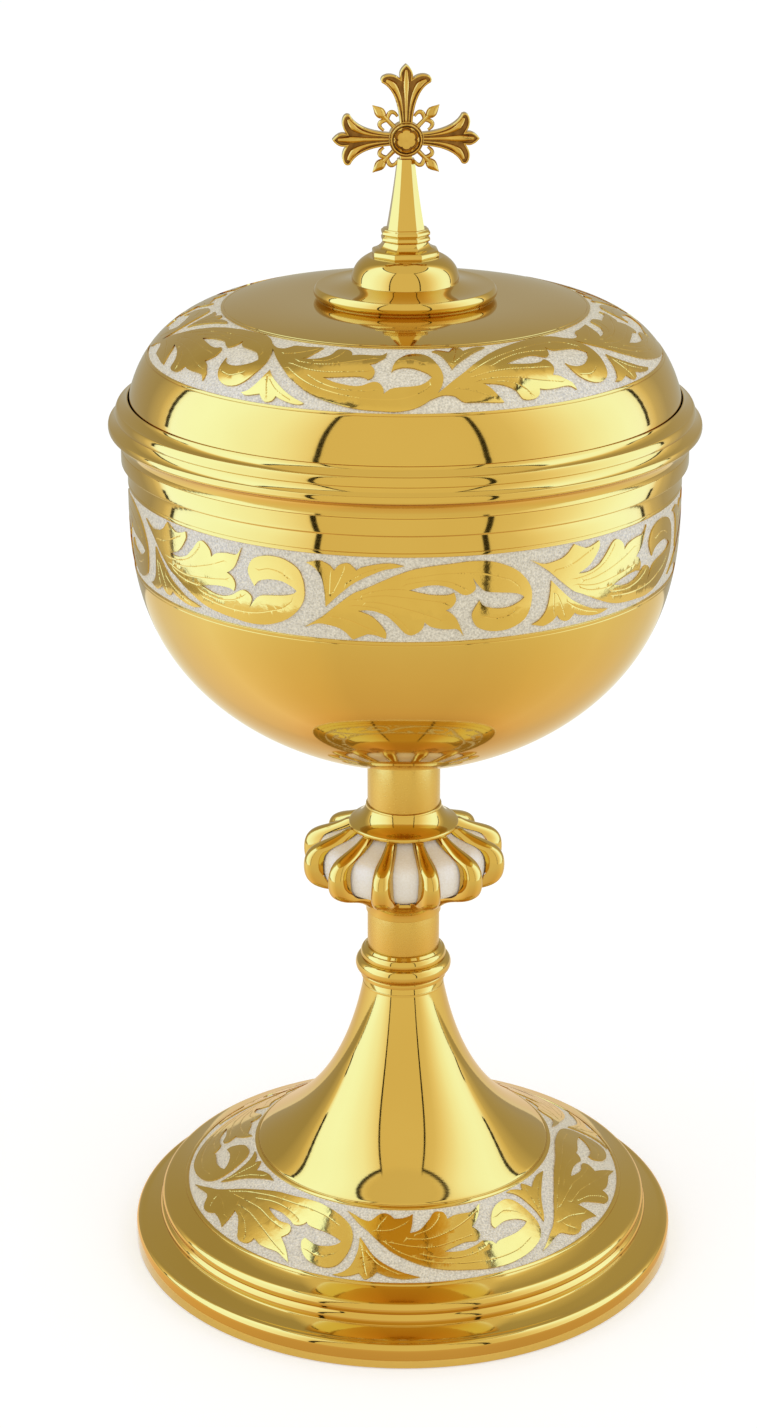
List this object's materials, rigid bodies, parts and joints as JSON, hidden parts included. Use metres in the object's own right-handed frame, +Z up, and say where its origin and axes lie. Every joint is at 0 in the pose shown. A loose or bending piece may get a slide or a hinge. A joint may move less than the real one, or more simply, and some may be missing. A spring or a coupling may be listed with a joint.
{
  "type": "lidded chalice",
  "caption": "Gilt covered chalice (ciborium): stepped spun foot, slim stem with a ribbed knop, deep cup and a loose domed lid with a fleury cross; three frosted scroll bands.",
  "frame": {"origin": "centre of the foot's underside, on the surface that it stands on", "axes": "+Z up along the stem; the cross faces -Y and its arms lie along X"},
  "size_m": [0.13, 0.13, 0.2779],
  "materials": {
    "polished_gold": "gilt, mirror polished",
    "frosted_silver": "silver plate, matted with a fine grain",
    "plain_brass": "plain turned brass",
    "steel": "bright turned steel"
  },
  "bodies": {
    "stand": {"foot_base": "polished_gold", "foot_flare": "polished_gold", "foot_ring": "plain_brass", "foot_collar": "polished_gold", "lower_stem_tube": "polished_gold", "upper_stem_tube": "polished_gold", "rod_washer": "plain_brass", "rod_nut": "steel", "tie_rod": "steel", "knop_lower_ring": "polished_gold", "knop_core": "frosted_silver", "knop_upper_collar": "polished_gold", "knop_rib_01": "polished_gold", "knop_rib_02": "polished_gold", "knop_rib_03": "polished_gold", "knop_rib_04": "polished_gold", "knop_rib_05": "polished_gold", "knop_rib_06": "polished_gold", "knop_rib_07": "polished_gold", "knop_rib_08": "polished_gold", "knop_rib_09": "polished_gold", "knop_rib_10": "polished_gold", "knop_rib_11": "polished_gold", "knop_rib_12": "polished_gold", "cup_socket": "plain_brass", "cup_bowl": "polished_gold"},
    "lid": {"lid_dome": "polished_gold", "lid_rim": "polished_gold", "lid_skirt": "polished_gold", "finial_washer": "plain_brass", "finial_nut": "plain_brass", "finial_stud": "steel", "finial_boss": "polished_gold", "cross_pedestal": "polished_gold", "cross_shaft": "polished_gold", "cross_head": "polished_gold", "medallion_front": "polished_gold", "medallion_back": "polished_gold"}
  },
  "joints": [
    {"name": "lid_lift", "type": "slide", "parent": "stand", "child": "lid", "axis": [0, 0, 1], "range_m": [0, 0.12]}
  ]
}
